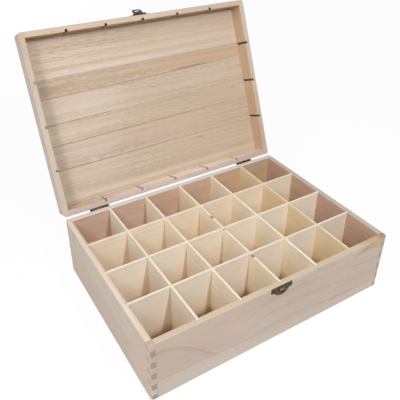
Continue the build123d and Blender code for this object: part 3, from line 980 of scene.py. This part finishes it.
# dome-headed nails: a head, a shank and a short point
nails = {
    "headRadius": 0.0015,
    "headHeight": 0.0007,
    "shankRadius": 0.0006,
    "shankLength": 0.0055,
    "pointLength": 0.0010,
    "lean": 0.03,
    "seed": 4,
    "pointShare": 0.15,
    "sides": 20,
    "rings": 4,
    "groups": (  # CAD node, body, which face its heads are on
        ("hinge_left_box_nails", "box", "back"),
        ("hinge_right_box_nails", "box", "back"),
        ("catch_plate_nails", "box", "front"),
        ("hinge_left_lid_nails", "lid", "back"),
        ("hinge_right_lid_nails", "lid", "back"),
        ("clasp_plate_nails", "lid", "front"),
    ),
}


def nailHead(given, recipe):
    # a cone whose rings are lifted onto a ball
    radius, height = given.also("Head radius"), given.also("Head height")
    cone = given.node(
        "GeometryNodeMeshCone",
        {"fill_type": "NGON"},
        {
            "Vertices": recipe["sides"], "Side Segments": recipe["rings"], "Radius Top": 0.0,
            "Radius Bottom": radius, "Depth": height,
        },
    )
    spot = given.node("GeometryNodeInputPosition")
    flat = spot.vectorMaths("MULTIPLY", spot, (1.0, 1.0, 0.0))
    reach = flat.vectorMaths("LENGTH", flat, out=1)
    ball = (radius ** 2.0 + height ** 2.0) / (height * 2.0)
    lift = (ball ** 2.0 - reach ** 2.0) ** 0.5 - ball + height
    dome = given.node(
        "GeometryNodeSetPosition",
        {},
        {"Geometry": cone, "Position": flat.vectorMaths("ADD", flat, vector(0.0, 0.0, lift))},
    )
    dome = given.node(
        "GeometryNodeSetShadeSmooth",
        {"domain": "FACE"},
        {"Geometry": dome, "Selection": cone.also("Side"), "Shade Smooth": True},
    )
    return dome, cone.also("Bottom")


def wholeNail(given, recipe):
    # the shank and its point are drawn out of the head's flat underside
    head, bottom = nailHead(given, recipe)
    pointLength = given.also("Point length")
    straight = given.also("Shank length") - pointLength
    under = given.node("GeometryNodeExtrudeMesh", {"mode": "FACES"}, {0: head, 1: bottom, 3: 0.0})
    neck = scaledFaces(under, under.also("Top"), given.also("Shank radius") / given.also("Head radius"))
    shank = drawnOut(neck, under.also("Top"), straight)
    point = drawnOut(shank, shank.also("Top"), pointLength)
    return scaledFaces(point, point.also("Top"), recipe["pointShare"])


def nailTree(recipe):
    # a nail on every seat, each leaning a little its own way
    tree = bpy.data.node_groups.new("dome nails", "GeometryNodeTree")
    sockets = tree.interface
    sockets.new_socket("Seats", in_out="INPUT", socket_type="NodeSocketGeometry")
    for label in ("Head radius", "Head height", "Shank radius", "Shank length", "Point length", "Lean"):
        sockets.new_socket(label, in_out="INPUT", socket_type="NodeSocketFloat")
    sockets.new_socket("Seed", in_out="INPUT", socket_type="NodeSocketInt")
    sockets.new_socket("Facing", in_out="INPUT", socket_type="NodeSocketRotation")
    sockets.new_socket("Metal", in_out="INPUT", socket_type="NodeSocketMaterial")
    sockets.new_socket("Nails", in_out="OUTPUT", socket_type="NodeSocketGeometry")
    given = Wire(tree).node("NodeGroupInput")
    nail = wholeNail(given, recipe)
    placed = given.node(
        "GeometryNodeInstanceOnPoints",
        {},
        {"Points": given.also("Seats"), "Instance": nail, "Rotation": given.also("Facing")},
    )
    lean = given.also("Lean")
    least, most = vector(lean * -1.0, lean * -1.0, 0.0), vector(lean, lean, math.tau)
    turn = given.node(
        "FunctionNodeRandomValue",
        {"data_type": "FLOAT_VECTOR"},
        {0: least, 1: most, "Seed": given.also("Seed")},
    )
    leaning = given.node("GeometryNodeRotateInstances", {}, {"Instances": placed, "Rotation": turn})
    real = given.node("GeometryNodeRealizeInstances", {}, {0: leaning})
    metal = given.node("GeometryNodeSetMaterial", {}, {"Geometry": real, "Material": given.also("Metal")})
    given.node("NodeGroupOutput", {}, {"Nails": metal})
    return tree


def drawnOut(geometry, selection, length):
    # faces pulled straight down by a length
    down = vector(0.0, 0.0, length * -1.0)
    return geometry.node(
        "GeometryNodeExtrudeMesh", {"mode": "FACES"}, {0: geometry, 1: selection, 2: down, 3: 1.0}
    )


def scaledFaces(geometry, selection, scale):
    return geometry.node(
        "GeometryNodeScaleElements",
        {"domain": "FACE"},
        {"Geometry": geometry, "Selection": selection, "Scale": scale},
    )


def nailSeats(node, body, side, recipe):
    # read from the CAD nails: where each head sits on its plate
    turn = shutTurn if body == "lid" else Matrix.Identity(3)
    shut = [turn @ (vertex.co - lidHinge) + lidHinge for vertex in frame["nodes"][node].data.vertices]
    low, high = (Vector(pick(point[i] for point in shut) for i in range(3)) for pick in (min, max))
    inset = recipe["headRadius"]
    height = (low.z + high.z) / 2
    seat = high.y - recipe["headHeight"] if side == "back" else low.y + recipe["headHeight"]
    seats = [Vector((x, seat, height)) for x in (low.x + inset, high.x - inset)]
    return [turn.transposed() @ (point - lidHinge) + lidHinge for point in seats]


def makeNails(recipe, metal):
    tree = nailTree(recipe)
    inputs = {item.name: item.identifier for item in tree.interface.items_tree if item.in_out == "INPUT"}
    for count, (node, body, side) in enumerate(recipe["groups"]):
        mesh = bpy.data.meshes.new(node)
        mesh.from_pydata(nailSeats(node, body, side, recipe), [], [])
        piece = bpy.data.objects.new("visual_" + node, mesh)
        bpy.context.scene.collection.objects.link(piece)
        facing = Matrix.Rotation(math.radians(-90.0 if side == "back" else 90.0), 3, "X")
        if body == "lid":
            facing = shutTurn.transposed() @ facing
        modifier = piece.modifiers.new("nails", "NODES")
        modifier.node_group = tree
        values = {
            "Head radius": recipe["headRadius"], "Head height": recipe["headHeight"],
            "Shank radius": recipe["shankRadius"], "Shank length": recipe["shankLength"],
            "Point length": recipe["pointLength"], "Lean": recipe["lean"], "Seed": recipe["seed"] + count,
            "Facing": facing.to_euler(), "Metal": metal,
        }
        for label, value in values.items():
            modifier[inputs[label]] = value
        evaluated = piece.evaluated_get(bpy.context.evaluated_depsgraph_get())
        solid = bpy.data.meshes.new_from_object(evaluated)
        piece.modifiers.clear()
        piece.data = solid
        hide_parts(node)
        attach(piece, body)


makeNails(nails, bronzeLook)
print("nails driven")

studio = {
    "floorHalf": 4.0,
    "floorDrop": 0.0001,
    "floorColour": (0.86, 0.86, 0.86),
    "floorGlow": 0.94,
    "worldStrength": 0.155,
    "worldColour": (1.0, 0.96, 0.90),
    "lampColour": (0.97, 1.0, 1.04),
    "lamps": (  # name, place, size, watts
        ("key lamp", (0.055, -0.80, 0.90), 0.08, 6.7),
        ("near left lamp", (-0.616, -0.259, 0.688), 0.09, 1.50),
        ("low side softbox", (-1.6, 0.0, 0.55), 0.8, 3.6),
        ("upper front softbox", (-0.3, -1.4, 2.0), 1.0, 8.8),
        ("upper left softbox", (-1.2, -0.4, 1.9), 1.0, 14.8),
        ("low back softbox", (0.0, 1.80, 0.45), 1.0, 9.0),
        ("low right softbox", (1.8, 0.25, 0.45), 1.0, 5.0),
    ),
    "aim": (0.0, 0.05, 0.10),
}


def makeFloor(studio):
    half, drop = studio["floorHalf"], studio["floorDrop"]
    mesh = bpy.data.meshes.new("floor")
    corners = [(-half, -half, -drop), (half, -half, -drop), (half, half, -drop), (-half, half, -drop)]
    mesh.from_pydata(corners, [], [(0, 1, 2, 3)])
    floor = bpy.data.objects.new("floor", mesh)
    bpy.context.scene.collection.objects.link(floor)
    material, bench = newMaterial("floor")
    diffuse = bench.node("ShaderNodeBsdfDiffuse", {}, {"Color": (*studio["floorColour"], 1.0)})
    glow = bench.node("ShaderNodeEmission", {}, {"Color": (1.0, 1.0, 1.0, 1.0), "Strength": 1.0})
    seen = seenWhite(bench) * studio["floorGlow"]
    surface = bench.node("ShaderNodeMixShader", {}, {0: seen, 1: diffuse, 2: glow})
    bench.node("ShaderNodeOutputMaterial", {}, {"Surface": surface})
    mesh.materials.append(material)


def seenWhite(bench):
    # 1 where the camera sees it, straight, mirrored or through something clear
    camera = bench.node("ShaderNodeLightPath", out="Is Camera Ray")
    glossy, clear = camera.also("Is Glossy Ray"), camera.also("Is Transmission Ray")
    return camera.maths("MAXIMUM", camera.maths("MAXIMUM", camera, glossy), clear)


def makeWorld(studio):
    world = bpy.data.worlds.new("studio")
    world.use_nodes = True
    world.node_tree.nodes.clear()
    bench = Wire(world.node_tree)
    fillLight = {"Color": (*studio["worldColour"], 1.0), "Strength": studio["worldStrength"]}
    fill = bench.node("ShaderNodeBackground", {}, fillLight)
    white = bench.node("ShaderNodeBackground", {}, {"Color": (1.0, 1.0, 1.0, 1.0), "Strength": 1.0})
    surface = bench.node("ShaderNodeMixShader", {}, {0: seenWhite(bench), 1: fill, 2: white})
    bench.node("ShaderNodeOutputWorld", {}, {"Surface": surface})
    bpy.context.scene.world = world


def makeLamps(studio):
    for name, place, size, power in studio["lamps"]:
        data = bpy.data.lights.new(name, "AREA")
        data.shape = "DISK"
        data.size = size
        data.energy = power
        data.color = studio["lampColour"]
        lamp = bpy.data.objects.new(name, data)
        bpy.context.scene.collection.objects.link(lamp)
        lamp.location = place
        lamp.visible_camera = False
        lamp.rotation_euler = (Vector(studio["aim"]) - Vector(place)).to_track_quat("-Z", "Y").to_euler()


makeFloor(studio)
makeWorld(studio)
makeLamps(studio)
bpy.context.scene.view_settings.view_transform = "Standard"
print("studio lit")
